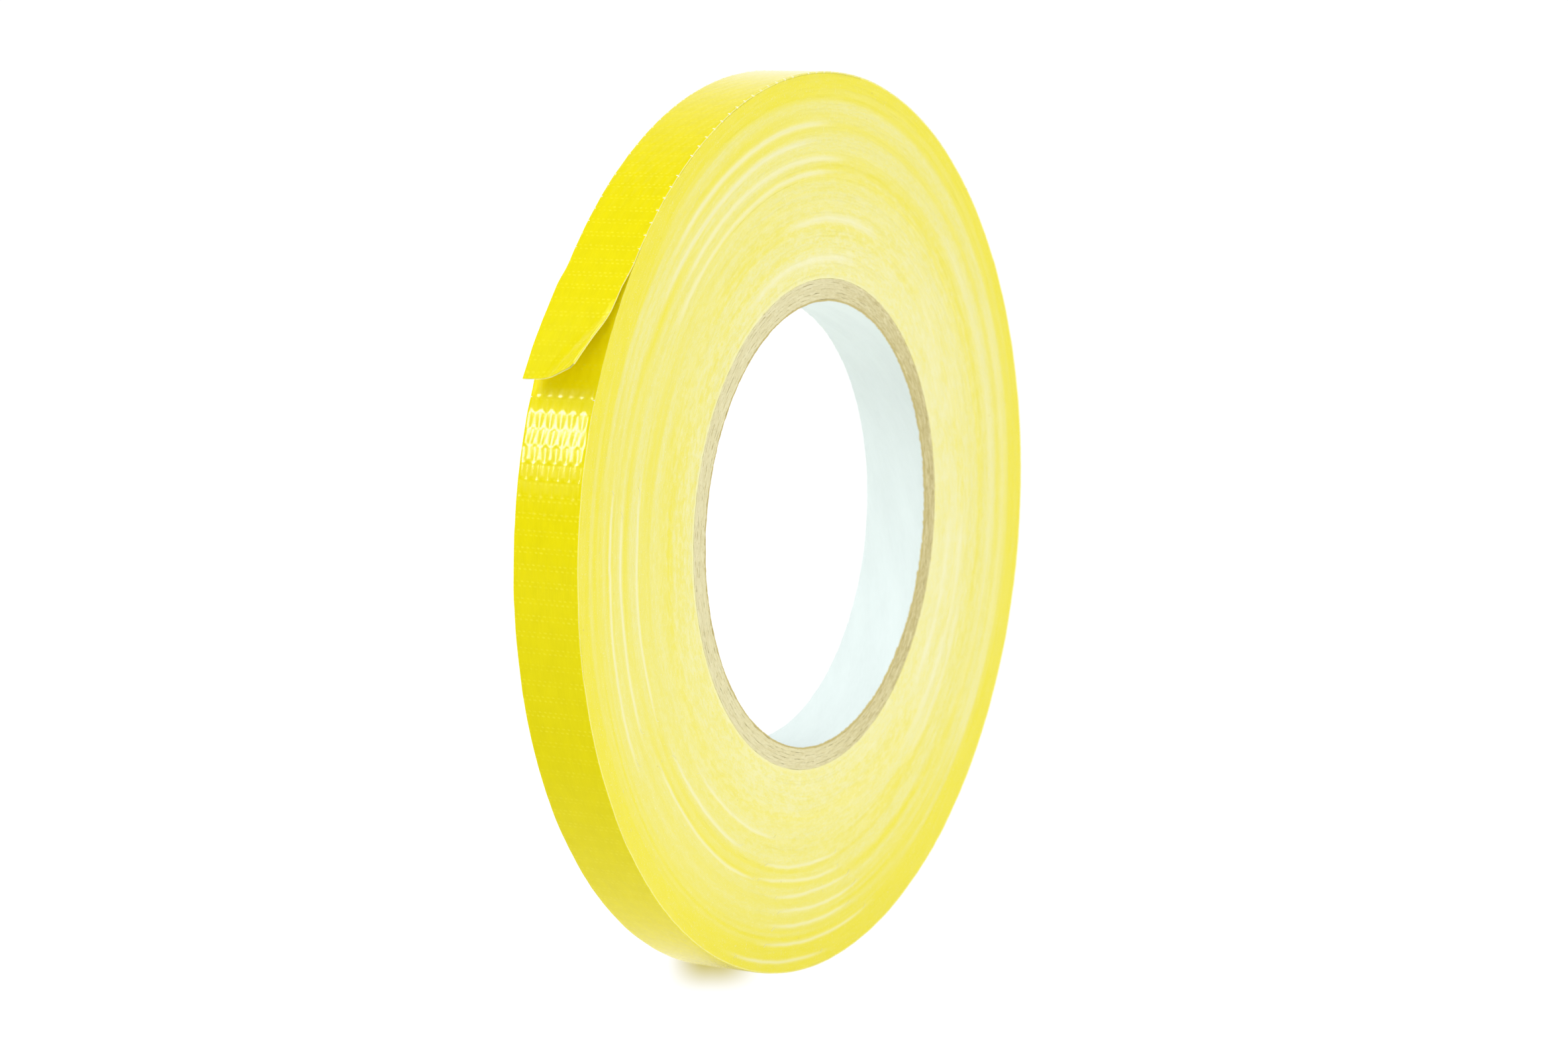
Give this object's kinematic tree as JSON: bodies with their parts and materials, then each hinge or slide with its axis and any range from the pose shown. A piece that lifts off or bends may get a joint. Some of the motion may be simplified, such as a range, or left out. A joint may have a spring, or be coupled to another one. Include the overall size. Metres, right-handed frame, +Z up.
{
  "type": "cloth adhesive tape roll",
  "caption": "Narrow roll of glossy yellow coated cloth tape wound on a laminated board core, standing on its rim, with a loose end that lifts and peels away.",
  "frame": {"origin": "centre of the core's bore, at mid-width of the roll", "axes": "+Y along the roll's axis, from the front side face to the back one; +Z up, with the roll standing on its rim; +X to the right seen from the front"},
  "size_m": [0.1533, 0.012, 0.1535],
  "materials": {
    "liner_paper": "matte",
    "core_board": "matte",
    "wound_tape": "satin",
    "tape_film": "gloss",
    "tape_cloth": "matte",
    "tape_adhesive": "satin"
  },
  "bodies": {
    "roll": {"core_liner": "liner_paper", "core_ply_1": "core_board", "core_ply_2": "core_board", "core_ply_3": "core_board", "core_ply_4": "core_board", "core_ply_5": "core_board", "core_ply_6": "core_board", "wound_turns": "wound_tape", "outer_turn_film": "tape_film", "outer_turn_cloth": "tape_cloth", "outer_turn_adhesive": "tape_adhesive"},
    "stretch_1": {"peel_1_film": "tape_film", "peel_1_cloth": "tape_cloth", "peel_1_adhesive": "tape_adhesive"},
    "stretch_2": {"peel_2_film": "tape_film", "peel_2_cloth": "tape_cloth", "peel_2_adhesive": "tape_adhesive"},
    "stretch_3": {"peel_3_film": "tape_film", "peel_3_cloth": "tape_cloth", "peel_3_adhesive": "tape_adhesive"},
    "stretch_4": {"peel_4_film": "tape_film", "peel_4_cloth": "tape_cloth", "peel_4_adhesive": "tape_adhesive"},
    "loose_end": {"loose_end_film": "tape_film", "loose_end_cloth": "tape_cloth", "loose_end_adhesive": "tape_adhesive"},
    "corner": {"corner_film": "tape_film", "corner_cloth": "tape_cloth", "corner_adhesive": "tape_adhesive"}
  },
  "joints": [
    {"name": "peel_line_1", "type": "hinge", "parent": "roll", "child": "stretch_1", "pos_m": [0.01284, 0, 0.0757], "axis": [0, 1, 0], "range_deg": [0, 40]},
    {"name": "peel_line_2", "type": "hinge", "parent": "stretch_1", "child": "stretch_2", "pos_m": [-0.00709, 0, 0.07647], "axis": [0, 1, 0], "range_deg": [0, 40]},
    {"name": "peel_line_3", "type": "hinge", "parent": "stretch_2", "child": "stretch_3", "pos_m": [-0.02655, 0, 0.07208], "axis": [0, 1, 0], "range_deg": [0, 40]},
    {"name": "peel_line_4", "type": "hinge", "parent": "stretch_3", "child": "stretch_4", "pos_m": [-0.04421, 0, 0.06283], "axis": [0, 1, 0], "range_deg": [0, 40]},
    {"name": "loose_end_lift", "type": "hinge", "parent": "stretch_4", "child": "loose_end", "pos_m": [-0.0589, 0, 0.04933], "axis": [0, 1, 0], "range_deg": [-7, 75]},
    {"name": "corner_turn", "type": "hinge", "parent": "loose_end", "child": "corner", "pos_m": [-0.07025, -0.0021, 0.036], "axis": [-0.4673, 0.5447, -0.6963], "range_deg": [-35, 70]}
  ]
}
